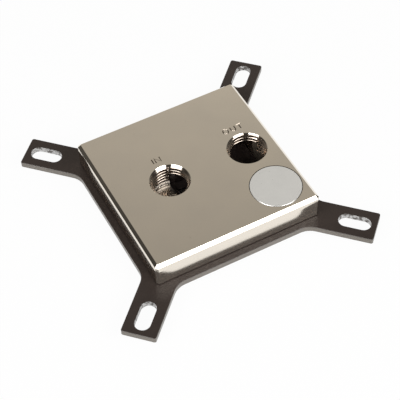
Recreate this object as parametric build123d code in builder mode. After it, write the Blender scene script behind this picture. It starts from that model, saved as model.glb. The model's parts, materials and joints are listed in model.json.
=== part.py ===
from build123d import *
from math import sqrt
import os

os.makedirs("parts", exist_ok=True)

# Sizes are in millimetres. Z points up, and Z = 0 is the face that lies on the processor.
# The arms of the bracket run along X and Y. The square block sits between them, turned by
# 45 degrees, so its own pieces are drawn on the block planes below: inlet to outlet along +X.

# Cover
cover_side = 59.1
cover_height = 9.1
cover_top_chamfer = 0.95
cover_corner_chamfer = 0.8
cover_rim_chamfer = 0.25

# Boss under the cover, which passes through the bracket and leaves a rim that lies on it
rim_width = 2.15
boss_corner_radius = 2.0
boss_gap = 0.15

# Cold plate, a little smaller than the cover
plate_set_in = 0.35
plate_thickness = 3.3
plate_corner_radius = 2.5
plate_edge_chamfer = 0.4

# Field of fins sawn into the cold plate
channel_width = 0.4
fin_thickness = 0.4
channel_count = 36
channel_depth = 1.5
channel_length = 35.0
saw_radius = 30.0

# Mounting bracket: a web round the boss, and arms slotted for a range of hole squares
bracket_thickness = 2.15
bracket_web = 4.43
bracket_play = 0.08
arm_width = 11.5
arm_root_radius = 6.5
arm_tip_radius = 0.7
bracket_edge_break = 0.15
near_hole_square = 72.0
hole_square_range = 8.0
slot_width = 5.25
slot_end_wall = 1.86

# Ports, with a plain wall at the thread's major radius
inlet_x = -9.55
outlet_inset = 10.4
port_radius = 6.58
port_mouth_flare = 0.27
port_thread_depth = 6.4
port_thread_height = 0.68
port_depth = 8.9

# Flow spaces milled up into the cover
roof_thickness = 3.45
insert_seat_depth = 1.7
inlet_channel_length = 14.6
inlet_channel_width = 13.8
inlet_channel_corner = 1.2
inlet_outlet_wall = 2.7
outlet_chamber_width = 29.0
outlet_chamber_corner = 3.0
gallery_end_gap = 0.6
gallery_inner_gap = 2.2
gallery_outer_gap = 0.8
gallery_height = 4.0
gallery_corner = 2.5

# Outer seal and its groove in the boss
groove_width = 1.7
groove_depth = 1.1
groove_wall = 1.25
groove_land = 0.65
groove_screw_wall = 1.0
seal_corner_radius = 5.0
seal_side_gap = 0.05

# Jet insert and jet plate
insert_gap = 0.15
insert_top_gap = 0.1
collar_gap = 0.1
collar_wall = 1.2
collar_top_gap = 0.4
collar_port_gap = 0.5
jet_plate_thickness = 0.4
jet_plate_border = 1.2
jet_plate_gap = 0.1
jet_slot_border = 1.4
jet_slot_width = 1.4
trough_width = 6.0
trough_height = 0.3
window_width = 3.4
window_plate_wall = 0.4
window_channel_gap = 0.1
window_end_wall = 6.0

# Inlet seal and its groove in the insert
inlet_seal_offset = 0.4
inlet_seal_width = 1.0
inlet_seal_height = 0.7

# Badge disc and its recess, placed from the cover's corner by the outlet
badge_inset_x = 10.2
badge_inset_y = 10.75
badge_radius = 8.6
badge_thickness = 0.95
badge_edge_chamfer = 0.12
badge_side_gap = 0.15
badge_set_back = 0.03

# Countersunk screws that hold the cold plate to the cover
screw_edge = 4.2
screw_radius = 2.0
screw_length = 9.0
screw_head_radius = 3.9
screw_head_rim = 0.2
screw_set_back = 0.15
screw_hole_gap = 0.2
screw_tap_gap = 0.02
screw_tap_extra = 0.8
screw_seat_gap = 0.03
hex_across_flats = 2.5
hex_depth = 1.3

# Squares of the stack
boss_side = cover_side - 2 * rim_width
plate_side = cover_side - 2 * plate_set_in
opening_side = boss_side + 2 * boss_gap
bracket_side = opening_side + 2 * bracket_web
screw_pitch = boss_side - 2 * screw_edge

# Heights of the stack
bracket_bottom = plate_thickness
cover_rim = bracket_bottom + bracket_thickness + bracket_play
cover_top = cover_rim + cover_height
ceiling = cover_top - roof_thickness
insert_ceiling = plate_thickness + insert_seat_depth
insert_top = insert_ceiling - insert_top_gap

# The seal runs round a square with its corners cut off, inside the four screws.
seal_half = boss_side / 2 - groove_wall - groove_width / 2
seal_diagonal = screw_pitch / sqrt(2) - screw_radius - groove_screw_wall - groove_width / 2
cavity_half = seal_half - groove_width / 2 - groove_land
cavity_diagonal = seal_diagonal - groove_width / 2 - groove_land
cavity_corner_radius = seal_corner_radius - groove_width / 2 - groove_land

# Slots that take bolts on every hole square of the range, and the arms that carry them
slot_centre_radius = (near_hole_square + hole_square_range / 2) / sqrt(2)
slot_centre_travel = hole_square_range / sqrt(2)
arm_reach = slot_centre_radius + (slot_centre_travel + slot_width) / 2 + slot_end_wall

# Places of the outlet and the badge on the cover
outlet_x = cover_side / 2 - outlet_inset
badge_x = cover_side / 2 - badge_inset_x
badge_y = badge_inset_y - cover_side / 2

# Field of fins, the jet plate over its middle and the windows over its two ends
channel_pitch = channel_width + fin_thickness
jet_plate_length = channel_count * channel_pitch - fin_thickness + 2 * jet_plate_border
jet_slot_length = jet_plate_length - 2 * jet_slot_border
window_outer = channel_length / 2 + window_channel_gap
window_inner = window_outer - window_width
jet_plate_width = 2 * (window_inner - window_plate_wall)
window_length = 2 * (cavity_diagonal * sqrt(2) - window_outer - window_end_wall)
outlet_chamber_start = inlet_channel_length / 2 + inlet_outlet_wall


def block_plane(height):
    """Level plane of the block at this height, its X running from inlet to outlet."""
    return Plane(origin=(0, 0, height), x_dir=(1, 1, 0), z_dir=(0, 0, 1))


def cut_corner_square(sketch, half, diagonal, rounding, mode=Mode.ADD):
    """Square face in the open sketch, its corners cut off this far along the diagonals, then rounded."""
    shoulder = diagonal * sqrt(2) - half
    corners = [
        (half, shoulder), (shoulder, half), (-shoulder, half), (-half, shoulder),
        (-half, -shoulder), (-shoulder, -half), (shoulder, -half), (half, -shoulder),
    ]
    Polygon(*corners, align=None, mode=mode)
    fillet(sketch.vertices(Select.LAST), rounding)


# Cold plate: plated copper, with the fins sawn into its upper face
saw_run = sqrt(2 * saw_radius * channel_depth - channel_depth**2)
channel_planes = [
    Plane(
        origin=block_plane(plate_thickness).from_local_coords((place * channel_pitch, 0, 0)),
        x_dir=(-1, 1, 0),
        z_dir=(1, 1, 0),
    )
    for place in (index - (channel_count - 1) / 2 for index in range(channel_count))
]
underside = Plane(origin=(0, 0, 0), x_dir=(1, 1, 0), z_dir=(0, 0, -1))

with BuildPart() as cold_plate:
    with BuildSketch(block_plane(0)) as plate_outline:
        Rectangle(plate_side, plate_side)
        fillet(plate_outline.vertices(), plate_corner_radius)
    extrude(amount=plate_thickness)
    chamfer(cold_plate.faces().sort_by(Axis.Z)[0].edges(), plate_edge_chamfer)
    with BuildSketch(*channel_planes):
        with BuildLine():
            floor = Line(
                (-channel_length / 2 + saw_run, -channel_depth),
                (channel_length / 2 - saw_run, -channel_depth),
            )
            TangentArc(floor @ 1, (channel_length / 2, 0), tangent=(1, 0))
            TangentArc(floor @ 0, (-channel_length / 2, 0), tangent=(-1, 0))
            Line((-channel_length / 2, 0), (channel_length / 2, 0))
        make_face()
    extrude(amount=channel_width / 2, both=True, mode=Mode.SUBTRACT)
    with Locations(underside):
        with GridLocations(screw_pitch, screw_pitch, 2, 2):
            CounterSinkHole(
                radius=screw_radius + screw_hole_gap,
                counter_sink_radius=screw_head_radius + screw_head_rim + screw_set_back + screw_seat_gap,
                counter_sink_angle=90,
            )

cold_plate.part.label = "cold_plate"
export_step(cold_plate.part, "parts/cold_plate.step")


# Mounting bracket: cut from sheet, trapped between the cold plate and the cover's rim
with BuildPart() as mounting_bracket:
    with BuildSketch(Plane.XY.offset(bracket_bottom)) as bracket_outline:
        Rectangle(bracket_side, bracket_side, rotation=45)
        Rectangle(2 * arm_reach, arm_width)
        Rectangle(arm_width, 2 * arm_reach)
        corners = bracket_outline.vertices().sort_by(lambda vertex: vertex.center().length)
        fillet(corners[:8], arm_root_radius)
        tips = bracket_outline.vertices().sort_by(lambda vertex: vertex.center().length)[-8:]
        fillet(tips, arm_tip_radius)
    extrude(amount=bracket_thickness)
    outline_edges = mounting_bracket.faces().sort_by(Axis.Z)[-1].edges()
    outline_edges += mounting_bracket.faces().sort_by(Axis.Z)[0].edges()
    chamfer(outline_edges, bracket_edge_break)
    with BuildSketch(Plane.XY.offset(bracket_bottom)):
        with PolarLocations(slot_centre_radius, 4):
            SlotCenterToCenter(slot_centre_travel, slot_width)
    extrude(amount=bracket_thickness, mode=Mode.SUBTRACT)
    with BuildSketch(block_plane(bracket_bottom)) as bracket_opening:
        Rectangle(opening_side, opening_side)
        fillet(bracket_opening.vertices(), boss_corner_radius)
    extrude(amount=bracket_thickness, mode=Mode.SUBTRACT)

mounting_bracket.part.label = "mounting_bracket"
export_step(mounting_bracket.part, "parts/mounting_bracket.step")


# Top cover: solid block with the boss below, ports above and the flow spaces between them
with BuildPart() as top_cover:
    with BuildSketch(block_plane(cover_rim)) as cover_outline:
        Rectangle(cover_side, cover_side)
        chamfer(cover_outline.vertices(), cover_corner_chamfer)
    extrude(amount=cover_height)
    chamfer(top_cover.faces().sort_by(Axis.Z)[-1].edges(), cover_top_chamfer)
    chamfer(top_cover.faces().sort_by(Axis.Z)[0].edges(), cover_rim_chamfer)
    with BuildSketch(block_plane(plate_thickness)) as boss_outline:
        Rectangle(boss_side, boss_side)
        fillet(boss_outline.vertices(), boss_corner_radius)
    extrude(amount=cover_rim - plate_thickness)

    # Ports: the tapped length, the drilled end below it and the chamfered mouth
    with BuildSketch(block_plane(cover_top)):
        with Locations((inlet_x, 0), (outlet_x, 0)):
            Circle(port_radius)
    extrude(amount=-port_thread_depth, mode=Mode.SUBTRACT)
    mouths = top_cover.faces().sort_by(Axis.Z)[-1].inner_wires().edges()
    chamfer(mouths, port_mouth_flare)
    with BuildSketch(block_plane(cover_top - port_thread_depth)):
        with Locations((inlet_x, 0), (outlet_x, 0)):
            Circle(port_radius - port_thread_height)
    extrude(amount=port_thread_depth - port_depth, mode=Mode.SUBTRACT)

    # Recess for the badge disc
    with BuildSketch(block_plane(cover_top)):
        with Locations((badge_x, badge_y)):
            Circle(badge_radius + badge_side_gap)
    extrude(amount=-(badge_thickness + badge_set_back), mode=Mode.SUBTRACT)

    # Seat for the jet insert
    with BuildSketch(block_plane(plate_thickness)) as insert_seat:
        cut_corner_square(insert_seat, cavity_half, cavity_diagonal, cavity_corner_radius)
    extrude(amount=insert_seat_depth, mode=Mode.SUBTRACT)

    # Inlet channel over the jet slot
    with BuildSketch(block_plane(insert_ceiling)) as inlet_channel:
        Rectangle(inlet_channel_length, inlet_channel_width)
        fillet(inlet_channel.vertices(), inlet_channel_corner)
    extrude(amount=ceiling - insert_ceiling, mode=Mode.SUBTRACT)

    # Outlet chamber under the outlet port
    with BuildSketch(block_plane(insert_ceiling)) as outlet_chamber:
        with Locations((outlet_chamber_start, 0)):
            Rectangle(
                cavity_half - outlet_chamber_start,
                outlet_chamber_width,
                align=(Align.MIN, Align.CENTER),
            )
        fillet(outlet_chamber.vertices(), outlet_chamber_corner)
    extrude(amount=ceiling - insert_ceiling, mode=Mode.SUBTRACT)

    # Two galleries that bring the coolant back from the ends of the fins
    with BuildSketch(block_plane(insert_ceiling)) as galleries:
        with PolarLocations(window_inner - gallery_inner_gap, 2, start_angle=90):
            Rectangle(
                window_width + gallery_inner_gap + gallery_outer_gap,
                window_length + 2 * gallery_end_gap,
                align=(Align.MIN, Align.CENTER),
            )
        fillet(galleries.vertices(), gallery_corner)
    extrude(amount=gallery_height, mode=Mode.SUBTRACT)

    # Groove for the outer seal
    with BuildSketch(block_plane(plate_thickness)) as seal_groove:
        cut_corner_square(
            seal_groove,
            seal_half + groove_width / 2,
            seal_diagonal + groove_width / 2,
            seal_corner_radius + groove_width / 2,
        )
        cut_corner_square(
            seal_groove,
            seal_half - groove_width / 2,
            seal_diagonal - groove_width / 2,
            seal_corner_radius - groove_width / 2,
            mode=Mode.SUBTRACT,
        )
    extrude(amount=groove_depth, mode=Mode.SUBTRACT)

    # Tapped holes for the screws
    with BuildSketch(block_plane(plate_thickness)):
        with GridLocations(screw_pitch, screw_pitch, 2, 2):
            Circle(screw_radius + screw_tap_gap)
    extrude(amount=screw_set_back + screw_length + screw_tap_extra - plate_thickness, mode=Mode.SUBTRACT)

top_cover.part.label = "top_cover"
export_step(top_cover.part, "parts/top_cover.step")


# Badge disc, let into the recess and left plain
with BuildPart() as badge_disc:
    with BuildSketch(block_plane(cover_top - badge_set_back)):
        with Locations((badge_x, badge_y)):
            Circle(badge_radius)
    extrude(amount=-badge_thickness)
    chamfer(badge_disc.faces().sort_by(Axis.Z)[-1].edges(), badge_edge_chamfer)

badge_disc.part.label = "badge_disc"
export_step(badge_disc.part, "parts/badge_disc.step")


# Jet insert: a moulded plate with a collar that carries the inlet flow down to the jet slot
trough_bottom = plate_thickness + jet_plate_thickness
collar_length = inlet_channel_length - 2 * collar_gap
collar_width = inlet_channel_width - 2 * collar_gap
seal_ring_length = inlet_channel_length + 2 * inlet_seal_offset
seal_ring_width = inlet_channel_width + 2 * inlet_seal_offset
seal_ring_corner = inlet_channel_corner + inlet_seal_offset

with BuildPart() as jet_insert:
    with BuildSketch(block_plane(plate_thickness)) as insert_outline:
        cut_corner_square(
            insert_outline,
            cavity_half - insert_gap,
            cavity_diagonal - insert_gap,
            cavity_corner_radius - insert_gap,
        )
    extrude(amount=insert_top - plate_thickness)

    # Collar, cut back to leave the inlet port clear
    with BuildSketch(block_plane(insert_top)) as collar:
        Rectangle(collar_length, collar_width)
        fillet(collar.vertices(), inlet_channel_corner - collar_gap)
        Rectangle(collar_length - 2 * collar_wall, collar_width - 2 * collar_wall, mode=Mode.SUBTRACT)
    extrude(amount=ceiling - collar_top_gap - insert_top)
    with BuildSketch(block_plane(insert_top)):
        with Locations((inlet_x, 0)):
            Circle(port_radius + collar_port_gap)
    extrude(amount=ceiling - insert_top, mode=Mode.SUBTRACT)

    # Recess for the jet plate, the trough along the jet slot and the funnel from the collar into it
    with BuildSketch(block_plane(plate_thickness)):
        Rectangle(jet_plate_length + 2 * jet_plate_gap, jet_plate_width + 2 * jet_plate_gap)
    extrude(amount=jet_plate_thickness, mode=Mode.SUBTRACT)
    with BuildSketch(block_plane(trough_bottom)):
        Rectangle(jet_slot_length, trough_width)
    extrude(amount=trough_height, mode=Mode.SUBTRACT)
    with BuildSketch(block_plane(trough_bottom + trough_height)):
        Rectangle(collar_length - 2 * collar_wall, trough_width)
    with BuildSketch(block_plane(insert_top)):
        Rectangle(collar_length - 2 * collar_wall, collar_width - 2 * collar_wall)
    loft(mode=Mode.SUBTRACT)

    # Windows over the two ends of the fins
    with BuildSketch(block_plane(plate_thickness)):
        with PolarLocations(window_inner, 2, start_angle=90):
            Rectangle(window_width, window_length, align=(Align.MIN, Align.CENTER))
    extrude(amount=insert_top - plate_thickness, mode=Mode.SUBTRACT)

    # Groove for the inlet seal
    with BuildSketch(block_plane(insert_ceiling - inlet_seal_height)):
        RectangleRounded(
            seal_ring_length + 2 * inlet_seal_width,
            seal_ring_width + 2 * inlet_seal_width,
            seal_ring_corner + inlet_seal_width,
        )
        RectangleRounded(seal_ring_length, seal_ring_width, seal_ring_corner, mode=Mode.SUBTRACT)
    extrude(amount=inlet_seal_height, mode=Mode.SUBTRACT)

jet_insert.part.label = "jet_insert"
export_step(jet_insert.part, "parts/jet_insert.step")


# Jet plate: thin sheet whose slot spreads the flow across all the channels
with BuildPart() as jet_plate:
    with BuildSketch(block_plane(plate_thickness)):
        Rectangle(jet_plate_length, jet_plate_width)
        SlotOverall(jet_slot_length, jet_slot_width, mode=Mode.SUBTRACT)
    extrude(amount=jet_plate_thickness)

jet_plate.part.label = "jet_plate"
export_step(jet_plate.part, "parts/jet_plate.step")


# Outer seal, drawn as it lies pressed in its groove
with BuildPart() as outer_seal:
    with BuildSketch(block_plane(plate_thickness)) as seal_outline:
        cut_corner_square(
            seal_outline,
            seal_half + groove_width / 2 - seal_side_gap,
            seal_diagonal + groove_width / 2 - seal_side_gap,
            seal_corner_radius + groove_width / 2 - seal_side_gap,
        )
        cut_corner_square(
            seal_outline,
            seal_half - groove_width / 2 + seal_side_gap,
            seal_diagonal - groove_width / 2 + seal_side_gap,
            seal_corner_radius - groove_width / 2 + seal_side_gap,
            mode=Mode.SUBTRACT,
        )
    extrude(amount=groove_depth)

outer_seal.part.label = "outer_seal"
export_step(outer_seal.part, "parts/outer_seal.step")


# Inlet seal, pressed between the insert and the cover round the inlet channel
with BuildPart() as inlet_seal:
    with BuildSketch(block_plane(insert_ceiling - inlet_seal_height)):
        RectangleRounded(
            seal_ring_length + 2 * inlet_seal_width,
            seal_ring_width + 2 * inlet_seal_width,
            seal_ring_corner + inlet_seal_width,
        )
        RectangleRounded(seal_ring_length, seal_ring_width, seal_ring_corner, mode=Mode.SUBTRACT)
    extrude(amount=inlet_seal_height)

inlet_seal.part.label = "inlet_seal"
export_step(inlet_seal.part, "parts/inlet_seal.step")


# Four countersunk screws with hexagon sockets, driven up from below
head_top = screw_set_back + screw_head_rim + screw_head_radius - screw_radius

with BuildPart() as base_screws:
    with BuildSketch(block_plane(screw_set_back)):
        with GridLocations(screw_pitch, screw_pitch, 2, 2):
            Circle(screw_head_radius)
    extrude(amount=screw_head_rim)
    with Locations(block_plane(screw_set_back + screw_head_rim)):
        with GridLocations(screw_pitch, screw_pitch, 2, 2):
            Cone(
                bottom_radius=screw_head_radius,
                top_radius=screw_radius,
                height=screw_head_radius - screw_radius,
                align=(Align.CENTER, Align.CENTER, Align.MIN),
            )
    with BuildSketch(block_plane(head_top)):
        with GridLocations(screw_pitch, screw_pitch, 2, 2):
            Circle(screw_radius)
    extrude(amount=screw_set_back + screw_length - head_top)
    with BuildSketch(block_plane(screw_set_back)):
        with GridLocations(screw_pitch, screw_pitch, 2, 2):
            RegularPolygon(hex_across_flats / 2, 6, major_radius=False)
    extrude(amount=hex_depth, mode=Mode.SUBTRACT)

base_screws.part.label = "base_screws"
export_step(base_screws.part, "parts/base_screws.step")
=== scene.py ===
import json
import bmesh
import bpy
import numpy as np
from mathutils import Matrix, Vector


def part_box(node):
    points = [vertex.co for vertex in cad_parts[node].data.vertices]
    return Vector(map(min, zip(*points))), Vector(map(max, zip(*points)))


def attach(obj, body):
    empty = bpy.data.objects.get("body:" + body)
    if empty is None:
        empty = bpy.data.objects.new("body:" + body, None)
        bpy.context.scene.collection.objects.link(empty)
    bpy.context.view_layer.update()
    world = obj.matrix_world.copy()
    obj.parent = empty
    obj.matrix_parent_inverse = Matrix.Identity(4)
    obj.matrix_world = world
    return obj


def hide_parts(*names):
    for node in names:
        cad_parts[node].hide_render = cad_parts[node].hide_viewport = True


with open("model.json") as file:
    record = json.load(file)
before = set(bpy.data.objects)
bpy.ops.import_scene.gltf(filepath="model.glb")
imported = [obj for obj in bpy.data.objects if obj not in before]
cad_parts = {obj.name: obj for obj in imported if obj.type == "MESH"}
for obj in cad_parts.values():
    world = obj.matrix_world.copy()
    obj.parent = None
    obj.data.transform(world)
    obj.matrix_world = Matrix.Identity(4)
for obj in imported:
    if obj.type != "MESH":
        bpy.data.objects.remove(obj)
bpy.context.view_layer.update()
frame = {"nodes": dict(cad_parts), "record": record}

MM = 0.001

# Body that every piece rides on
BODY = "root"

# Camera: where the photographer stood and how the camera was turned, with lens and sensor in millimetres
CAMERA_PLACE = Vector((0.09207, -0.26631, 0.34131))
CAMERA_VIEW = Vector((-0.20566, 0.60112, -0.77224))
CAMERA_ROLL = np.radians(-2.4)
CAMERA_LENS = 118.4
CAMERA_SENSOR = 36.0

# Capitals cut beside the ports as V grooves, and the gaps between them, in millimetres on the block's axes
LETTER_HEIGHT = 2.1
LETTER_BASELINE = 8.85
IN_GAPS = [0.9]
OUT_GAPS = [1.1, 0.9]
GROOVE_WIDTH = 0.4
GROOVE_DEPTH = 0.2
STEM_GAP = 0.02

# A groove's mitre is clipped where 1 plus the cosine of its turn falls under this
MITRE_LIMIT = 0.6

# Ports, in millimetres: depth of the drilled end, then the G 1/4 thread and its gaps to the bore and its end
PORT_DEPTH = 8.9
THREAD_PITCH = 1.337
THREAD_MINOR_RADIUS = 5.72
THREAD_BORE_GAP = 0.006
THREAD_END_GAP = 0.02

# Millimetres that the badge's recess, painted with shade round the disc, reaches past the disc, and the least
# depth of its faces
RECESS_GAP = 0.3
RECESS_LEAST_DEPTH = 0.01

# The rim's broken lower edge, painted with the shade of the gap over the bracket: millimetres it reaches
# above the bracket, and the height its normals lie under
RIM_BREAK = 0.5
LOOKS_DOWN = -0.3

# Bracket, in millimetres: half width of the band that holds the slots, and the coated end of the arm past it
SLOT_BAND = 3.2
ARM_END = 0.9

# Depths below the cover's top, in millimetres, between which polishing has rolled its upright sides over
ROLL_END = 0.95
ROLL_START = 3.0

# How far a side's normal is lifted where it is rolled over the most
ROLL_LIFT = 0.45

# Points of a CAD mesh nearer than this, in metres, are made one
MERGE_REACH = 0.000001

# Floor: half side and height in metres, its own grey, and the share of plain white in what it shows
FLOOR_HALF = 1.6
FLOOR_HEIGHT = -0.00005
FLOOR_GREY = 0.85
FLOOR_WHITE_SHARE = 0.96

# Room: direction of its lit wall, and its tint
LIT_WALL = (-0.31, 0.89, 0.34)
ROOM_TINT = (1.0, 0.935, 0.835)

# Soft boxes: size and distance in metres
SOFT_BOX_WIDTH = 0.68
SOFT_BOX_HEIGHT = 0.5
SOFT_BOX_DISTANCE = 0.9

record = frame["record"]
mounts = {mount["name"]: mount for mount in record["mounts"]}
openings = {opening["name"]: opening for opening in record["physics"]["openings"]}
cover_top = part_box("top_cover")[1].z

# The block's own axes: it sits turned by 45 degrees between the arms of the bracket.
BLOCK_X = np.array((1.0, 1.0, 0.0)) / np.sqrt(2)
BLOCK_Y = np.array((-1.0, 1.0, 0.0)) / np.sqrt(2)


def on_block(x, y, z):
    """Points in the row frame, in metres, from block x and y in millimetres and height z in metres."""
    x, y, z = np.broadcast_arrays(x, y, z)
    level = MM * (x[..., None] * BLOCK_X + y[..., None] * BLOCK_Y)
    return level + z[..., None] * np.array((0.0, 0.0, 1.0))


def port_place(name):
    """Block x and y of a port's axis in millimetres, and its radius."""
    place = np.array(mounts[name]["pos_m"]) / MM
    return place @ BLOCK_X, place @ BLOCK_Y, mounts[name]["dims"]["r_mm"]


def thread_depths(port):
    """Depths below the cover's top, in millimetres, at which a port's mouth ends and its thread ends."""
    mount = mounts[port]
    half = mount["dims"]["length_mm"] / 2
    middle = (cover_top - mount["pos_m"][2]) / MM
    return middle - half, middle + half


def new_piece(name, points, faces, material, sharp_angle):
    """Mesh object from an array of points and an array of faces, smooth but for its sharp edges."""
    mesh = bpy.data.meshes.new(name)
    mesh.from_pydata(points.reshape(-1, 3), [], faces.tolist())
    mesh.update()
    piece = bpy.data.objects.new(name, mesh)
    bpy.context.scene.collection.objects.link(piece)
    mesh.materials.append(material)
    finish_piece(piece, sharp_angle)


def finish_piece(piece, sharp_angle):
    """Gives a piece its smooth faces and the body it rides on. Edges that turn by more than sharp_angle
    degrees stay crisp."""
    mesh = piece.data
    mesh.polygons.foreach_set("use_smooth", np.ones(len(mesh.polygons), bool))
    mesh.set_sharp_from_angle(angle=np.radians(sharp_angle))
    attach(piece, BODY)


def grid_faces(rows, columns, close_rows, close_columns):
    """Quads of a grid of points, counted row by row, closed round either way where asked."""
    row = np.arange(rows if close_rows else rows - 1)
    column = np.arange(columns if close_columns else columns - 1)
    i, j = np.meshgrid(row, column, indexing="ij")
    i2, j2 = (i + 1) % rows, (j + 1) % columns
    corners = [i * columns + j, i2 * columns + j, i2 * columns + j2, i * columns + j2]
    return np.stack(corners, -1).reshape(-1, 4)


# Materials


def socket(group, name, kind, way, default=None):
    """Gives a node group an input or output socket."""
    made = group.interface.new_socket(name=name, in_out=way, socket_type=kind)
    if default is not None:
        made.default_value = default


def object_coordinates(tree):
    """Place on the object, in metres on its own axes."""
    return tree.nodes.new("ShaderNodeTexCoord").outputs["Object"]


def make_clouds_group():
    """Soft clouds: noise between Low and High, for a slow change of tone or gloss over a surface."""
    group = bpy.data.node_groups.new("soft_clouds", "ShaderNodeTree")
    socket(group, "Scale", "NodeSocketFloat", "INPUT", 60.0)
    socket(group, "Detail", "NodeSocketFloat", "INPUT", 3.0)
    socket(group, "Low", "NodeSocketFloat", "INPUT", 0.0)
    socket(group, "High", "NodeSocketFloat", "INPUT", 1.0)
    socket(group, "Value", "NodeSocketFloat", "OUTPUT")
    entry = group.nodes.new("NodeGroupInput")
    leave = group.nodes.new("NodeGroupOutput")
    noise = group.nodes.new("ShaderNodeTexNoise")
    spread = group.nodes.new("ShaderNodeMapRange")
    spread.inputs["From Min"].default_value = 0.3
    spread.inputs["From Max"].default_value = 0.7
    link = group.links.new
    link(object_coordinates(group), noise.inputs["Vector"])
    link(entry.outputs["Scale"], noise.inputs["Scale"])
    link(entry.outputs["Detail"], noise.inputs["Detail"])
    link(noise.outputs["Fac"], spread.inputs["Value"])
    link(entry.outputs["Low"], spread.inputs["To Min"])
    link(entry.outputs["High"], spread.inputs["To Max"])
    link(spread.outputs["Result"], leave.inputs["Value"])
    return group


def make_ripple_group():
    """Surface ripple: a bump from fine grain over a slower wave, as plating and moulding leave it."""
    group = bpy.data.node_groups.new("surface_ripple", "ShaderNodeTree")
    socket(group, "Wave Scale", "NodeSocketFloat", "INPUT", 100.0)
    socket(group, "Grain Scale", "NodeSocketFloat", "INPUT", 2000.0)
    socket(group, "Grain Share", "NodeSocketFloat", "INPUT", 0.3)
    socket(group, "Depth", "NodeSocketFloat", "INPUT", 0.00001)
    socket(group, "Normal", "NodeSocketVector", "OUTPUT")
    entry = group.nodes.new("NodeGroupInput")
    leave = group.nodes.new("NodeGroupOutput")
    wave = group.nodes.new("ShaderNodeTexNoise")
    grain = group.nodes.new("ShaderNodeTexNoise")
    wave.inputs["Detail"].default_value = 1.0
    mix = group.nodes.new("ShaderNodeMix")
    bump = group.nodes.new("ShaderNodeBump")
    link = group.links.new
    place = object_coordinates(group)
    link(place, wave.inputs["Vector"])
    link(place, grain.inputs["Vector"])
    link(entry.outputs["Wave Scale"], wave.inputs["Scale"])
    link(entry.outputs["Grain Scale"], grain.inputs["Scale"])
    link(entry.outputs["Grain Share"], mix.inputs["Factor"])
    link(wave.outputs["Fac"], mix.inputs["A"])
    link(grain.outputs["Fac"], mix.inputs["B"])
    link(mix.outputs["Result"], bump.inputs["Height"])
    link(entry.outputs["Depth"], bump.inputs["Distance"])
    link(bump.outputs["Normal"], leave.inputs["Normal"])
    return group


def make_specks_group():
    """Specks: 1 inside small round dots scattered over the surface, as dust and pinholes lie on it."""
    group = bpy.data.node_groups.new("fine_specks", "ShaderNodeTree")
    socket(group, "Scale", "NodeSocketFloat", "INPUT", 400.0)
    socket(group, "Size", "NodeSocketFloat", "INPUT", 0.06)
    socket(group, "Mask", "NodeSocketFloat", "OUTPUT")
    entry = group.nodes.new("NodeGroupInput")
    leave = group.nodes.new("NodeGroupOutput")
    cells = group.nodes.new("ShaderNodeTexVoronoi")
    inside = group.nodes.new("ShaderNodeMath")
    inside.operation = "LESS_THAN"
    link = group.links.new
    link(object_coordinates(group), cells.inputs["Vector"])
    link(entry.outputs["Scale"], cells.inputs["Scale"])
    link(cells.outputs["Distance"], inside.inputs[0])
    link(entry.outputs["Size"], inside.inputs[1])
    link(inside.outputs[0], leave.inputs["Mask"])
    return group


def make_steepness_group():
    """Steepness: 0 on level faces and 1 on upright ones, with a ramp between two heights of the normal."""
    group = bpy.data.node_groups.new("steepness", "ShaderNodeTree")
    socket(group, "Level", "NodeSocketFloat", "INPUT", 0.85)
    socket(group, "Upright", "NodeSocketFloat", "INPUT", 0.45)
    socket(group, "Mask", "NodeSocketFloat", "OUTPUT")
    entry = group.nodes.new("NodeGroupInput")
    leave = group.nodes.new("NodeGroupOutput")
    geometry = group.nodes.new("ShaderNodeNewGeometry")
    split = group.nodes.new("ShaderNodeSeparateXYZ")
    steep = group.nodes.new("ShaderNodeMath")
    steep.operation = "ABSOLUTE"
    step = group.nodes.new("ShaderNodeMapRange")
    link = group.links.new
    link(geometry.outputs["True Normal"], split.inputs[0])
    link(split.outputs["Z"], steep.inputs[0])
    link(steep.outputs[0], step.inputs["Value"])
    link(entry.outputs["Level"], step.inputs["From Min"])
    link(entry.outputs["Upright"], step.inputs["From Max"])
    link(step.outputs["Result"], leave.inputs["Mask"])
    return group


def make_height_group():
    """Height: 0 at the first height of the object and 1 at the second, for bands that lie level round it."""
    group = bpy.data.node_groups.new("height", "ShaderNodeTree")
    socket(group, "First", "NodeSocketFloat", "INPUT", 0.0)
    socket(group, "Second", "NodeSocketFloat", "INPUT", 1.0)
    socket(group, "Value", "NodeSocketFloat", "OUTPUT")
    entry = group.nodes.new("NodeGroupInput")
    leave = group.nodes.new("NodeGroupOutput")
    split = group.nodes.new("ShaderNodeSeparateXYZ")
    step = group.nodes.new("ShaderNodeMapRange")
    link = group.links.new
    link(object_coordinates(group), split.inputs[0])
    link(split.outputs["Z"], step.inputs["Value"])
    link(entry.outputs["First"], step.inputs["From Min"])
    link(entry.outputs["Second"], step.inputs["From Max"])
    link(step.outputs["Result"], leave.inputs["Value"])
    return group


def make_lift_group():
    """Lift: tilts a normal upwards by an amount, as a polished face rolls over towards its edge."""
    group = bpy.data.node_groups.new("lift", "ShaderNodeTree")
    socket(group, "Amount", "NodeSocketFloat", "INPUT", 0.0)
    socket(group, "Normal", "NodeSocketVector", "INPUT")
    socket(group, "Normal", "NodeSocketVector", "OUTPUT")
    entry = group.nodes.new("NodeGroupInput")
    leave = group.nodes.new("NodeGroupOutput")
    upward = group.nodes.new("ShaderNodeCombineXYZ")
    total = group.nodes.new("ShaderNodeVectorMath")
    unit = group.nodes.new("ShaderNodeVectorMath")
    unit.operation = "NORMALIZE"
    link = group.links.new
    link(entry.outputs["Amount"], upward.inputs["Z"])
    link(entry.outputs["Normal"], total.inputs[0])
    link(upward.outputs[0], total.inputs[1])
    link(total.outputs[0], unit.inputs[0])
    link(unit.outputs[0], leave.inputs["Normal"])
    return group


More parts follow.
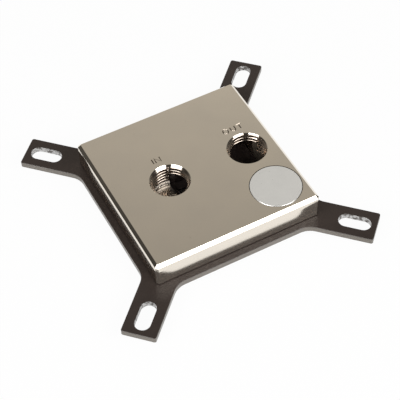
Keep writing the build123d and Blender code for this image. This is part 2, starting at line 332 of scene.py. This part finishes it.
def make_arm_middle_group():
    """Arm middle: 1 in a cross on the object's X and Y axes, Width to either side and Reach long, else 0."""
    group = bpy.data.node_groups.new("arm_middle", "ShaderNodeTree")
    socket(group, "Width", "NodeSocketFloat", "INPUT", 0.001)
    socket(group, "Reach", "NodeSocketFloat", "INPUT", 0.05)
    socket(group, "Mask", "NodeSocketFloat", "OUTPUT")
    entry = group.nodes.new("NodeGroupInput")
    leave = group.nodes.new("NodeGroupOutput")
    split = group.nodes.new("ShaderNodeSeparateXYZ")

    def math(operation, first, second=None):
        """Result of one math node on one or two sockets."""
        node = group.nodes.new("ShaderNodeMath")
        node.operation = operation
        group.links.new(first, node.inputs[0])
        if second is not None:
            group.links.new(second, node.inputs[1])
        return node.outputs[0]

    group.links.new(object_coordinates(group), split.inputs[0])
    x = math("ABSOLUTE", split.outputs["X"])
    y = math("ABSOLUTE", split.outputs["Y"])
    beside = math("LESS_THAN", math("MINIMUM", x, y), entry.outputs["Width"])
    within = math("LESS_THAN", math("MAXIMUM", x, y), entry.outputs["Reach"])
    group.links.new(math("MULTIPLY", beside, within), leave.inputs["Mask"])
    return group


clouds_group = make_clouds_group()
ripple_group = make_ripple_group()
specks_group = make_specks_group()
steepness_group = make_steepness_group()
height_group = make_height_group()
lift_group = make_lift_group()
arm_middle_group = make_arm_middle_group()


class Finish:
    """One material and the few steps that every finish here is built from."""

    def __init__(self, name, metallic, specular=0.5):
        self.material = bpy.data.materials.new(name)
        self.material.use_nodes = True
        self.tree = self.material.node_tree
        self.shader = self.tree.nodes["Principled BSDF"]
        self.shader.inputs["Metallic"].default_value = metallic
        self.shader.inputs["Specular IOR Level"].default_value = specular

    def group(self, group, **values):
        """First output of a node group, with the values given for its inputs."""
        node = self.tree.nodes.new("ShaderNodeGroup")
        node.node_tree = group
        for name, value in values.items():
            node.inputs[name.replace("_", " ").title()].default_value = value
        return node.outputs[0]

    def tones(self, factor, first, second):
        """Colour that goes from the first tone to the second as factor goes from 0 to 1."""
        mix = self.tree.nodes.new("ShaderNodeMix")
        mix.data_type = "RGBA"
        self.tree.links.new(factor, mix.inputs["Factor"])
        for name, tone in (("A", first), ("B", second)):
            target = [s for s in mix.inputs if s.name == name and s.type == "RGBA"][0]
            if isinstance(tone, bpy.types.NodeSocket):
                self.tree.links.new(tone, target)
            else:
                target.default_value = (*tone, 1.0)
        return [s for s in mix.outputs if s.type == "RGBA"][0]

    def times(self, first, second):
        """Product of two values, each a socket or a number."""
        product = self.tree.nodes.new("ShaderNodeMath")
        product.operation = "MULTIPLY"
        for entry, value in zip(product.inputs, (first, second)):
            if isinstance(value, bpy.types.NodeSocket):
                self.tree.links.new(value, entry)
            else:
                entry.default_value = value
        return product.outputs[0]

    def blend(self, factor, first, second):
        """Value that goes from the first to the second, each a socket or a number, as tones does."""
        mix = self.tree.nodes.new("ShaderNodeMix")
        self.tree.links.new(factor, mix.inputs["Factor"])
        for name, value in (("A", first), ("B", second)):
            if isinstance(value, bpy.types.NodeSocket):
                self.tree.links.new(value, mix.inputs[name])
            else:
                mix.inputs[name].default_value = value
        return mix.outputs["Result"]

    def bands(self, value, stops):
        """Colour read from a list of places between 0 and 1 and the tones that lie there."""
        ramp = self.tree.nodes.new("ShaderNodeValToRGB")
        for place, _ in stops[1:-1]:
            ramp.color_ramp.elements.new(place)
        for element, (place, tone) in zip(ramp.color_ramp.elements, stops):
            element.position = place
            element.color = (*tone, 1.0)
        self.tree.links.new(value, ramp.inputs["Fac"])
        return ramp.outputs["Color"]

    def set(self, **sockets):
        """Links sockets to the shader's inputs of those names."""
        for name, source in sockets.items():
            self.tree.links.new(source, self.shader.inputs[name.replace("_", " ").title()])


def bright_nickel():
    """Polished nickel plate: warm, mirror-bright, with a faint haze, slow ripples and a few pinholes. Its
    upright sides are duller, and roll over towards the cover's top."""
    finish = Finish("bright_nickel", metallic=1.0)
    clouds = finish.group(clouds_group, scale=70.0, detail=4.0, low=0.0, high=1.0)
    tone = finish.tones(clouds, (0.875, 0.81, 0.71), (0.83, 0.772, 0.684))
    specks = finish.group(specks_group, scale=210.0, size=0.028)
    ripple = finish.group(
        ripple_group, wave_scale=90.0, grain_scale=5000.0, grain_share=0.08, depth=0.0000022
    )
    upright = finish.group(steepness_group, level=0.3, upright=0.1)
    roll = finish.group(
        height_group, first=cover_top - MM * ROLL_START, second=cover_top - MM * ROLL_END
    )
    lift = finish.tree.nodes.new("ShaderNodeGroup")
    lift.node_tree = lift_group
    finish.tree.links.new(finish.times(finish.times(upright, roll), ROLL_LIFT), lift.inputs["Amount"])
    finish.tree.links.new(ripple, lift.inputs["Normal"])
    gloss = finish.group(clouds_group, scale=160.0, detail=6.0, low=0.055, high=0.085)
    finish.set(
        base_color=finish.tones(specks, tone, (0.25, 0.22, 0.19)),
        roughness=finish.blend(upright, gloss, 0.17),
        normal=lift.outputs["Normal"],
    )
    return finish.material


def worked_nickel_and_painted_shade(name, metallic, first, second, low, high, depth):
    """Plate over a cut or tapped surface, darker than the polished faces and with a duller gloss; its
    near-black form is painted shade, put where shade falls in recesses and gaps.
    """
    finish = Finish(name, metallic, specular=0.2)
    clouds = finish.group(clouds_group, scale=900.0, detail=4.0, low=0.0, high=1.0)
    finish.set(
        base_color=finish.tones(clouds, first, second),
        roughness=finish.group(clouds_group, scale=1200.0, detail=3.0, low=low, high=high),
        normal=finish.group(
            ripple_group, wave_scale=900.0, grain_scale=6000.0, grain_share=0.4, depth=depth
        ),
    )
    return finish.material


def drilled_plate_with_painted_shade(floor):
    """Plate over the drilled end of the inlet: a wall with painted shade in a band under the thread and in
    the corner above the floor, a lighter band between, and a floor left bright by the tool."""
    finish = Finish("drilled_nickel_with_painted_shade", metallic=0.3, specular=0.3)
    thread_end = cover_top - MM * thread_depths("inlet_port")[1]
    depth = finish.group(height_group, first=thread_end, second=floor)
    ground = finish.group(height_group, first=floor + MM * 0.1, second=floor + MM * 0.05)
    # Painted shade: the tone of the bands under the thread and above the floor, standing in for the shade
    # inside the bore.
    painted_shade_tone = (0.05, 0.035, 0.027)
    light = (0.92, 0.84, 0.75)
    floor_tone = (0.93, 0.87, 0.79)
    stops = [
        (0.0, painted_shade_tone),
        (0.22, painted_shade_tone),
        (0.34, light),
        (0.70, light),
        (0.78, painted_shade_tone),
        (0.96, painted_shade_tone),
        (0.98, floor_tone),
    ]
    gloss = finish.group(clouds_group, scale=300.0, detail=2.0, low=0.22, high=0.27)
    finish.set(
        base_color=finish.bands(depth, stops),
        metallic=finish.blend(ground, 0.3, 1.0),
        roughness=finish.blend(ground, 0.4, gloss),
    )
    return finish.material


def black_powder_coat():
    """Black coating on the bracket: satin on its flat faces, with a painted greyer tone on the upright cut
    edges that stands in for the white floor reflected in them. In the slots the coat is broken, and its pale
    blotches are partly uncoated metal and partly painted reflection."""
    finish = Finish("black_powder_coat", metallic=0.0, specular=0.35)
    edge = finish.group(steepness_group, level=0.85, upright=0.45)
    slots_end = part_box("mounting_bracket")[1].x - MM * ARM_END
    in_slots = finish.group(arm_middle_group, width=MM * SLOT_BAND, reach=slots_end)
    clouds = finish.group(clouds_group, scale=90.0, detail=5.0, low=0.0, high=1.0)
    blotches = finish.group(clouds_group, scale=850.0, detail=2.0, low=-0.9, high=2.3)
    face = finish.tones(clouds, (0.029, 0.021, 0.018), (0.041, 0.030, 0.0255))
    # Painted reflection: the cut edges' greyer tone stands in for the white floor they reflect.
    cut = finish.tones(clouds, (0.155, 0.139, 0.12), (0.19, 0.172, 0.152))
    # Partly uncoated metal, partly painted reflection: the pale blotches in the slot walls.
    uncoated_metal_and_painted_reflection = finish.tones(blotches, (0.11, 0.10, 0.092), (0.50, 0.495, 0.49))
    gloss = finish.group(clouds_group, scale=700.0, detail=3.0, low=0.36, high=0.46)
    finish.set(
        base_color=finish.tones(edge, face, finish.tones(in_slots, cut, uncoated_metal_and_painted_reflection)),
        roughness=finish.blend(edge, gloss, 0.28),
        normal=finish.group(
            ripple_group, wave_scale=1500.0, grain_scale=5200.0, grain_share=0.45, depth=0.00002
        ),
    )
    return finish.material


def satin_disc():
    """Pale satin disc with a bright turned rim."""
    finish = Finish("satin_disc", metallic=0.35)
    edge = finish.group(steepness_group, level=0.95, upright=0.8)
    clouds = finish.group(clouds_group, scale=140.0, detail=5.0, low=0.0, high=1.0)
    tone = finish.tones(clouds, (0.69, 0.687, 0.665), (0.73, 0.725, 0.70))
    specks = finish.group(specks_group, scale=420.0, size=0.05)
    face = finish.tones(specks, tone, (0.42, 0.43, 0.42))
    gloss = finish.group(clouds_group, scale=900.0, detail=2.0, low=0.42, high=0.52)
    finish.set(
        base_color=finish.tones(edge, face, (0.72, 0.71, 0.69)),
        metallic=finish.blend(edge, 0.35, 0.8),
        roughness=finish.blend(edge, gloss, 0.3),
        normal=finish.group(
            ripple_group, wave_scale=700.0, grain_scale=6000.0, grain_share=0.5, depth=0.000006
        ),
    )
    return finish.material


def lapped_plate():
    """Nickel-plated cold plate: like the cover, with the slightly cloudier gloss of a lapped face."""
    finish = Finish("plated_copper", metallic=1.0)
    clouds = finish.group(clouds_group, scale=120.0, detail=6.0, low=0.0, high=1.0)
    finish.set(
        base_color=finish.tones(clouds, (0.84, 0.78, 0.69), (0.80, 0.75, 0.67)),
        roughness=finish.group(clouds_group, scale=400.0, detail=6.0, low=0.10, high=0.18),
        normal=finish.group(
            ripple_group, wave_scale=220.0, grain_scale=6000.0, grain_share=0.3, depth=0.000003
        ),
    )
    return finish.material


def moulded_black(name, tone, roughness, depth, grain_scale):
    """Dark moulded plastic or rubber, with the grain of its mould."""
    finish = Finish(name, metallic=0.0)
    clouds = finish.group(clouds_group, scale=150.0, detail=4.0, low=0.0, high=1.0)
    lighter = tuple(1.4 * part for part in tone)
    finish.set(
        base_color=finish.tones(clouds, tone, lighter),
        roughness=finish.group(
            clouds_group, scale=600.0, detail=3.0, low=roughness - 0.05, high=roughness + 0.05
        ),
        normal=finish.group(
            ripple_group, wave_scale=500.0, grain_scale=grain_scale, grain_share=0.6, depth=depth
        ),
    )
    return finish.material


def stainless(name, low, high):
    """Plain stainless steel with an uneven satin gloss."""
    finish = Finish(name, metallic=1.0)
    clouds = finish.group(clouds_group, scale=200.0, detail=5.0, low=0.0, high=1.0)
    finish.set(
        base_color=finish.tones(clouds, (0.60, 0.59, 0.575), (0.66, 0.65, 0.635)),
        roughness=finish.group(clouds_group, scale=800.0, detail=4.0, low=low, high=high),
        normal=finish.group(
            ripple_group, wave_scale=400.0, grain_scale=7000.0, grain_share=0.5, depth=0.000004
        ),
    )
    return finish.material


nickel = bright_nickel()
rubber = moulded_black(
    "black_rubber", tone=(0.016, 0.016, 0.017), roughness=0.62, depth=0.00001, grain_scale=3000.0
)
acetal = moulded_black(
    "black_acetal", tone=(0.020, 0.013, 0.011), roughness=0.5, depth=0.000006, grain_scale=4000.0
)
# Painted shade: a near-black matt plate laid on the outlet below its mouth, in the badge recess and on the
# rim's lower edge, where shade falls.
painted_shade_nickel = worked_nickel_and_painted_shade(
    "painted_shade_nickel",
    metallic=0.0,
    first=(0.05, 0.04, 0.03),
    second=(0.08, 0.065, 0.05),
    low=0.55,
    high=0.7,
    depth=0.000006,
)
drilled_nickel_with_painted_shade = drilled_plate_with_painted_shade(cover_top - MM * PORT_DEPTH)
# Groove faces of the lettering: a darker plate that stands partly for the cut surface and partly for painted
# shade in the grooves.
cut_nickel_and_painted_shade = worked_nickel_and_painted_shade(
    "cut_nickel_and_painted_shade",
    metallic=1.0,
    first=(0.34, 0.29, 0.24),
    second=(0.40, 0.35, 0.29),
    low=0.32,
    high=0.42,
    depth=0.000004,
)
tapped_nickel = worked_nickel_and_painted_shade(
    "tapped_nickel",
    metallic=1.0,
    first=(0.52, 0.44, 0.37),
    second=(0.58, 0.495, 0.42),
    low=0.12,
    high=0.17,
    depth=0.000001,
)
kept_nodes = {
    "mounting_bracket": black_powder_coat(),
    "badge_disc": satin_disc(),
    "cold_plate": lapped_plate(),
    "jet_insert": acetal,
    "jet_plate": stainless("stainless_sheet", low=0.22, high=0.32),
    "outer_seal": rubber,
    "inlet_seal": rubber,
    "base_screws": stainless("stainless_screw", low=0.28, high=0.36),
}
for name, material in kept_nodes.items():
    node = frame["nodes"][name]
    node.data.materials.clear()
    node.data.materials.append(material)


# Lettering: each letter gives its width and the centre lines of its strokes, from its lower left corner


def arc(centre_x, centre_y, radius_x, radius_y, start, end, count):
    """Points on an ellipse's arc: centre plus radius times cosine and sine of evenly spaced angles."""
    angle = np.radians(np.linspace(start, end, count))
    return np.stack([centre_x + radius_x * np.cos(angle), centre_y + radius_y * np.sin(angle)], -1)


def letter_i():
    return 0.0, [np.array([(0, 0), (0, LETTER_HEIGHT)])]


def letter_n():
    width = 1.85
    top = LETTER_HEIGHT
    return width, [np.array([(0, 0), (0, top), (width, 0), (width, top)])]


def letter_o():
    width = 1.8
    half = LETTER_HEIGHT / 2
    return width, [arc(width / 2, half, width / 2, half, 0, 360, count=29)]


def letter_u():
    width = 1.6
    top = LETTER_HEIGHT
    half = width / 2
    bowl = arc(half, half, half, half, 180, 360, count=13)
    return width, [np.concatenate([[(0, top)], bowl, [(width, top)]])]


def letter_t():
    width = 1.7
    top = LETTER_HEIGHT
    bar = np.array([(0, top), (width, top)])
    stem = np.array([(width / 2, 0), (width / 2, top - GROOVE_WIDTH / 2 - STEM_GAP)])
    return width, [bar, stem]


def word_strokes(letters, gaps, centre_x):
    """Strokes of a word, in block millimetres, with its middle at centre_x."""
    total = sum(width for width, _ in letters) + sum(gaps)
    start = centre_x - total / 2
    strokes = []
    for (width, paths), gap in zip(letters, [*gaps, 0.0]):
        strokes += [path + np.array((start, LETTER_BASELINE)) for path in paths]
        start += width + gap
    return strokes


def groove(path):
    """Points and faces of a V groove's cutter along a stroke. At each point a diamond stands across the path:
    point plus or minus half the width times the mitre gives its side corners, and the cover's top plus or
    minus the groove's depth its other two. The mitre is (n1 + n2) / ((n1 + n2) . n2), from the normals of
    the runs before and after the point. A stroke that ends where it starts makes a closed ring, and any
    other is capped at both ends."""
    closed = np.allclose(path[0], path[-1])
    ahead = np.diff(path, axis=0)
    ahead /= np.linalg.norm(ahead, axis=1)[:, None]
    normal = np.stack([-ahead[:, 1], ahead[:, 0]], -1)
    if closed:
        path = path[:-1]
        before = np.roll(normal, 1, 0)
        after = normal
    else:
        before = np.concatenate([normal[:1], normal])
        after = np.concatenate([normal, normal[-1:]])
    mitre = before + after
    mitre /= np.maximum((mitre * after).sum(1), MITRE_LIMIT)[:, None]
    across = np.array((1.0, 0.0, -1.0, 0.0)) * GROOVE_WIDTH / 2
    x = path[:, :1] + mitre[:, :1] * across
    y = path[:, 1:] + mitre[:, 1:] * across
    z = cover_top + MM * GROOVE_DEPTH * np.array((0.0, -1.0, 0.0, 1.0))
    faces = grid_faces(len(path), 4, closed, True)
    if not closed:
        first = np.arange(4)
        last = 4 * len(path) - 4 + first
        faces = np.concatenate([faces, [first, last]])
    return on_block(x, y, z[None, :]).reshape(-1, 3), faces


def groove_tool(strokes):
    """Cutter for the grooves of every stroke, as one mesh of closed bars and rings."""
    grooves = [groove(stroke) for stroke in strokes]
    starts = np.cumsum([0] + [len(points) for points, _ in grooves])
    faces = np.concatenate([start + quads for start, (_, quads) in zip(starts, grooves)])
    mesh = bpy.data.meshes.new("groove_tool")
    mesh.from_pydata(np.concatenate([points for points, _ in grooves]), [], faces.tolist())
    # The grooves take this darker plate, partly painted shade.
    mesh.materials.append(cut_nickel_and_painted_shade)
    tool = bpy.data.objects.new("groove_tool", mesh)
    shell = bmesh.new()
    shell.from_mesh(mesh)
    bmesh.ops.recalc_face_normals(shell, faces=shell.faces)
    shell.to_mesh(mesh)
    shell.free()
    bpy.context.scene.collection.objects.link(tool)
    return tool


def merged_copy(node):
    """Plain mesh of a CAD node's triangles, with points that lie together made one."""
    source = node.data
    points = np.empty(3 * len(source.vertices), np.float32)
    source.vertices.foreach_get("co", points)
    corners = np.empty(len(source.loops), np.int32)
    source.loops.foreach_get("vertex_index", corners)
    mesh = bpy.data.meshes.new("merged_copy")
    mesh.from_pydata(points.reshape(-1, 3), [], corners.reshape(-1, 3).tolist())
    shell = bmesh.new()
    shell.from_mesh(mesh)
    bmesh.ops.remove_doubles(shell, verts=shell.verts, dist=MERGE_REACH)
    shell.to_mesh(mesh)
    shell.free()
    return mesh


def mark_drilled_and_painted_shade_faces(mesh, drilled, painted_shade_slot):
    """Gives the drilled slot to the inlet's end below its thread, and the painted shade slot, a near-black
    plate that stands in for shade, to the outlet below its mouth, to the badge recess and to the broken lower
    edge of the rim."""
    centre = np.empty(3 * len(mesh.polygons), np.float32)
    normal = np.empty(3 * len(mesh.polygons), np.float32)
    mesh.polygons.foreach_get("center", centre)
    mesh.polygons.foreach_get("normal", normal)
    centre = centre.reshape(-1, 3)
    rise = normal.reshape(-1, 3)[:, 2]
    index = np.empty(len(mesh.polygons), np.int32)
    mesh.polygons.foreach_get("material_index", index)
    depth = (cover_top - centre[:, 2]) / MM
    mouth_end = thread_depths("outlet_port")[0]
    thread_end = thread_depths("inlet_port")[1]
    # Painted shade: the outlet's faces below its mouth take the near-black plate, standing in for the shade
    # of the chamber beneath.
    for port, start, slot in (("inlet_port", thread_end, drilled), ("outlet_port", mouth_end, painted_shade_slot)):
        x, y, bore = port_place(port)
        reach = np.hypot(centre @ BLOCK_X / MM - x, centre @ BLOCK_Y / MM - y)
        index[(reach < bore) & (depth > start)] = slot
    low, high = (np.array(corner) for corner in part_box("badge_disc"))
    reach = np.hypot(*(centre[:, :2] - (low + high)[:2] / 2).T)
    beside_badge = reach < (high - low)[0] / 2 + MM * RECESS_GAP
    recess = beside_badge & (depth > RECESS_LEAST_DEPTH) & (centre[:, 2] > low[2] - MM * RECESS_GAP)
    above_bracket = (centre[:, 2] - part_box("mounting_bracket")[1].z) / MM
    painted_shade_rim_edge = (rise < LOOKS_DOWN) & (above_bracket > 0) & (above_bracket < RIM_BREAK)
    # Painted shade: the badge recess and the rim's lower edge over the bracket take the near-black plate,
    # standing in for the shade in these gaps.
    index[recess | painted_shade_rim_edge] = painted_shade_slot
    mesh.polygons.foreach_set("material_index", index)


def engraved_cover():
    """The cover's own solid with the two words cut into its top, and its round walls shaded smooth."""
    mesh = merged_copy(frame["nodes"]["top_cover"])
    mesh.materials.append(nickel)
    blank = bpy.data.objects.new("cover_blank", mesh)
    bpy.context.scene.collection.objects.link(blank)
    inlet_x = port_place("inlet_port")[0]
    outlet_x = port_place("outlet_port")[0]
    word_in = word_strokes([letter_i(), letter_n()], IN_GAPS, inlet_x)
    word_out = word_strokes([letter_o(), letter_u(), letter_t()], OUT_GAPS, outlet_x)
    tool = groove_tool(word_in + word_out)
    cut = blank.modifiers.new("cut", "BOOLEAN")
    cut.operation = "DIFFERENCE"
    cut.solver = "EXACT"
    cut.material_mode = "TRANSFER"
    cut.object = tool
    evaluated = blank.evaluated_get(bpy.context.evaluated_depsgraph_get())
    cover = bpy.data.objects.new("engraved_cover", bpy.data.meshes.new_from_object(evaluated))
    bpy.context.scene.collection.objects.link(cover)
    for spare in (blank, tool):
        bpy.data.objects.remove(spare)
    cover.data.name = "engraved_cover"
    cover.data.materials.append(painted_shade_nickel)
    cover.data.materials.append(drilled_nickel_with_painted_shade)
    mark_drilled_and_painted_shade_faces(cover.data, drilled=3, painted_shade_slot=2)
    finish_piece(cover, sharp_angle=25)
    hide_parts("top_cover")


# Threads


def thread_ring(name, port, start_depth, deep_from, deep_to):
    """Threaded wall of a port, as a closed ring. Its inner radius at an azimuth and depth is the larger of
    the helical thread, the sine of the depth in pitches less the turn, and the 45 degree mouth. Its outer
    one lies just inside the bore. It ends shallow round the flow opening and deeper between the two
    azimuths, where the bore's wall goes on."""
    around = 240
    down = 96
    centre_x, centre_y, bore = port_place(port)
    mouth_flare, thread_end = thread_depths(port)
    ceiling = (cover_top - openings["outlet_chamber"]["box_m"][1][2]) / MM
    azimuth = np.linspace(0, 2 * np.pi, around, endpoint=False)
    turn = np.degrees(azimuth)
    deep = (turn - deep_from) % 360 < (deep_to - deep_from) % 360
    end = np.where(deep, thread_end - THREAD_END_GAP, ceiling)
    share = np.linspace(0, 1, down)
    start = mouth_flare + 2 * THREAD_BORE_GAP
    depth = start + (end[:, None] - start) * share[None, :]
    wave = np.sin(2 * np.pi * (depth - start_depth) / THREAD_PITCH - azimuth[:, None])
    middle = (bore + THREAD_MINOR_RADIUS) / 2
    swing = (bore - THREAD_MINOR_RADIUS) / 2
    wall = bore - THREAD_BORE_GAP
    mouth = bore + mouth_flare - depth
    inner = np.minimum(np.maximum(middle + swing * wave, mouth), wall - THREAD_BORE_GAP)
    radius = np.concatenate([inner, np.full_like(inner, wall)], 1)
    depth = np.concatenate([depth, depth[:, ::-1]], 1)
    x = centre_x + radius * np.cos(azimuth)[:, None]
    y = centre_y + radius * np.sin(azimuth)[:, None]
    points = on_block(x, y, cover_top - MM * depth)
    faces = grid_faces(around, 2 * down, True, True)
    new_piece(name, points, faces, tapped_nickel, sharp_angle=60)


engraved_cover()
thread_ring("inlet_thread", "inlet_port", start_depth=-0.6, deep_from=70, deep_to=290)
thread_ring("outlet_thread", "outlet_port", start_depth=0.0, deep_from=-25, deep_to=25)


# Studio: a white floor, a warm grey room and two soft boxes beside the camera


def white_floor():
    """Floor just under the cold plate. It shows white to the camera and in the metal, keeps a trace of the
    object's shadow, and is clear from below, so that the underside can be looked at."""
    mesh = bpy.data.meshes.new("studio_floor")
    sides = [(-1, -1), (1, -1), (1, 1), (-1, 1)]
    corners = [(x * FLOOR_HALF, y * FLOOR_HALF, FLOOR_HEIGHT) for x, y in sides]
    mesh.from_pydata(corners, [], [(0, 1, 2, 3)])
    floor = bpy.data.objects.new("studio_floor", mesh)
    bpy.context.scene.collection.objects.link(floor)
    material = bpy.data.materials.new("studio_floor")
    material.use_nodes = True
    tree = material.node_tree
    tree.nodes.clear()
    out = tree.nodes.new("ShaderNodeOutputMaterial")
    paper = tree.nodes.new("ShaderNodeBsdfDiffuse")
    paper.inputs["Color"].default_value = (FLOOR_GREY, FLOOR_GREY, FLOOR_GREY, 1.0)
    glow = tree.nodes.new("ShaderNodeEmission")
    path = tree.nodes.new("ShaderNodeLightPath")
    seen = tree.nodes.new("ShaderNodeMath")
    seen.operation = "MAXIMUM"
    either = tree.nodes.new("ShaderNodeMath")
    either.operation = "MAXIMUM"
    share = tree.nodes.new("ShaderNodeMath")
    share.operation = "MULTIPLY"
    share.inputs[1].default_value = FLOOR_WHITE_SHARE
    mix = tree.nodes.new("ShaderNodeMixShader")
    two_faces = tree.nodes.new("ShaderNodeMixShader")
    clear = tree.nodes.new("ShaderNodeBsdfTransparent")
    geometry = tree.nodes.new("ShaderNodeNewGeometry")
    link = tree.links.new
    link(path.outputs["Is Camera Ray"], seen.inputs[0])
    link(path.outputs["Is Glossy Ray"], seen.inputs[1])
    link(seen.outputs[0], either.inputs[0])
    link(path.outputs["Is Transmission Ray"], either.inputs[1])
    link(either.outputs[0], share.inputs[0])
    link(share.outputs[0], mix.inputs[0])
    link(paper.outputs[0], mix.inputs[1])
    link(glow.outputs[0], mix.inputs[2])
    link(geometry.outputs["Backfacing"], two_faces.inputs[0])
    link(mix.outputs[0], two_faces.inputs[1])
    link(clear.outputs[0], two_faces.inputs[2])
    link(two_faces.outputs[0], out.inputs["Surface"])
    mesh.materials.append(material)


def grey_room():
    """World: a warm grey room, lighter towards the lit wall behind the object. The camera sees it white round
    the horizon, and pale grey overhead, so that bright sides stand out from it in a view from below."""
    world = bpy.data.worlds.new("studio_room")
    bpy.context.scene.world = world
    world.use_nodes = True
    tree = world.node_tree
    tree.nodes.clear()
    out = tree.nodes.new("ShaderNodeOutputWorld")
    room = tree.nodes.new("ShaderNodeBackground")
    backdrop = tree.nodes.new("ShaderNodeBackground")
    rise = tree.nodes.new("ShaderNodeSeparateXYZ")
    overhead = tree.nodes.new("ShaderNodeValToRGB")
    for stop, (height, grey) in zip(overhead.color_ramp.elements, [(0.3, 1.0), (0.4, 0.8)]):
        stop.position = height
        stop.color = (grey, grey, grey, 1.0)
    place = tree.nodes.new("ShaderNodeTexCoord")
    wall = tree.nodes.new("ShaderNodeVectorMath")
    wall.operation = "DOT_PRODUCT"
    wall.inputs[1].default_value = Vector(LIT_WALL).normalized()
    fade = tree.nodes.new("ShaderNodeValToRGB")
    tones = [(0.2, 0.05), (0.45, 0.12), (0.70, 0.235), (0.829, 0.355), (0.891, 0.46), (1.0, 0.95)]
    for place_on_ramp, _ in tones[1:-1]:
        fade.color_ramp.elements.new(place_on_ramp)
    for stop, (place_on_ramp, grey) in zip(fade.color_ramp.elements, tones):
        stop.position = place_on_ramp
        stop.color = (*(part * grey for part in ROOM_TINT), 1.0)
    path = tree.nodes.new("ShaderNodeLightPath")
    mix = tree.nodes.new("ShaderNodeMixShader")
    link = tree.links.new
    link(place.outputs["Generated"], wall.inputs[0])
    link(wall.outputs["Value"], fade.inputs["Fac"])
    link(fade.outputs["Color"], room.inputs["Color"])
    link(place.outputs["Generated"], rise.inputs[0])
    link(rise.outputs["Z"], overhead.inputs["Fac"])
    link(overhead.outputs["Color"], backdrop.inputs["Color"])
    link(path.outputs["Is Camera Ray"], mix.inputs[0])
    link(room.outputs[0], mix.inputs[1])
    link(backdrop.outputs[0], mix.inputs[2])
    link(mix.outputs[0], out.inputs["Surface"])


def soft_box(name, direction, power):
    """Rectangular lamp that looks at the object from a direction, with its power in watts."""
    light = bpy.data.lights.new(name, "AREA")
    light.shape = "RECTANGLE"
    light.size = SOFT_BOX_WIDTH
    light.size_y = SOFT_BOX_HEIGHT
    light.energy = power
    lamp = bpy.data.objects.new(name, light)
    bpy.context.scene.collection.objects.link(lamp)
    place = Vector(direction).normalized() * SOFT_BOX_DISTANCE
    aim = (-place).to_track_quat("-Z", "Y").to_matrix().to_4x4()
    lamp.matrix_world = Matrix.Translation(place) @ aim


def photo_camera():
    """Camera with the photograph's viewpoint, framing and slight roll."""
    data = bpy.data.cameras.new("photo_camera")
    data.lens = CAMERA_LENS
    data.sensor_width = CAMERA_SENSOR
    camera = bpy.data.objects.new("photo_camera", data)
    bpy.context.scene.collection.objects.link(camera)
    aim = CAMERA_VIEW.to_track_quat("-Z", "Y").to_matrix().to_4x4()
    roll = Matrix.Rotation(CAMERA_ROLL, 4, "Z")
    camera.matrix_world = Matrix.Translation(CAMERA_PLACE) @ aim @ roll
    bpy.context.scene.camera = camera


white_floor()
grey_room()
soft_box("right_soft_box", direction=(0.753, -0.321, 0.574), power=6.4)
soft_box("left_soft_box", direction=(-0.295, -0.764, 0.574), power=5.8)
photo_camera()
bpy.context.scene.view_settings.view_transform = "Standard"
